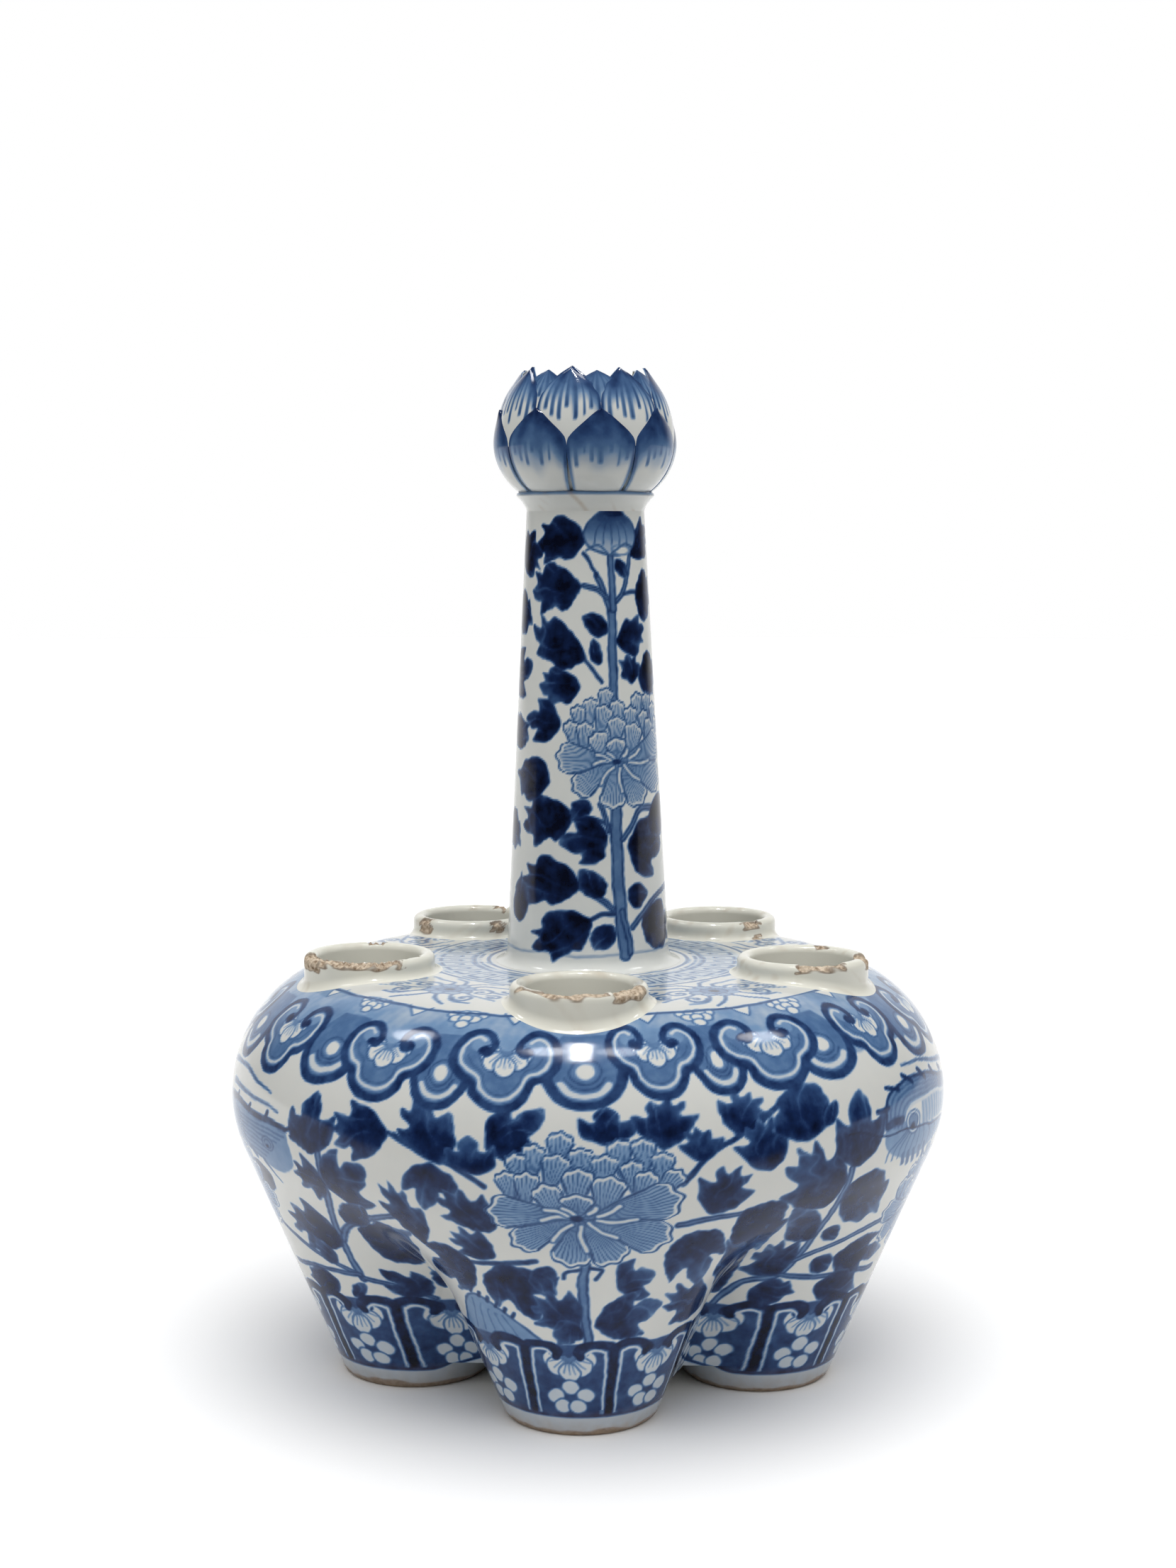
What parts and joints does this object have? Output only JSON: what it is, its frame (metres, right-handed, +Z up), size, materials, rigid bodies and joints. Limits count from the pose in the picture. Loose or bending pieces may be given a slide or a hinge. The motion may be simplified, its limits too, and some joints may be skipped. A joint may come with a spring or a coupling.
{
  "type": "tulipiere",
  "caption": "Porcelain flower vase with a lobed body on feet, short round spouts on its shoulder and a tall neck ending in a lotus mouth.",
  "frame": {"origin": "on the vase's axis at the level of the table it stands on", "axes": "+Z up along the neck, -Y towards the front lobe"},
  "size_m": [0.1728, 0.1728, 0.24],
  "materials": {
    "painted_glaze": "gloss",
    "plain_glaze": "gloss",
    "foot_rim": "matte"
  },
  "bodies": {
    "root": {"base": "plain_glaze", "neck": "painted_glaze", "lotus_cup": "painted_glaze", "lower_petals": "painted_glaze", "upper_petals": "painted_glaze", "inner_petals": "painted_glaze", "shoulder_1": "painted_glaze", "shoulder_2": "painted_glaze", "shoulder_3": "painted_glaze", "shoulder_4": "painted_glaze", "shoulder_5": "painted_glaze", "lobe_1": "painted_glaze", "lobe_2": "painted_glaze", "lobe_3": "painted_glaze", "lobe_4": "painted_glaze", "lobe_5": "painted_glaze", "foot_1": "foot_rim", "foot_2": "foot_rim", "foot_3": "foot_rim", "foot_4": "foot_rim", "foot_5": "foot_rim", "spout_1": "plain_glaze", "spout_2": "plain_glaze", "spout_3": "plain_glaze", "spout_4": "plain_glaze", "spout_5": "plain_glaze"}
  },
  "joints": []
}
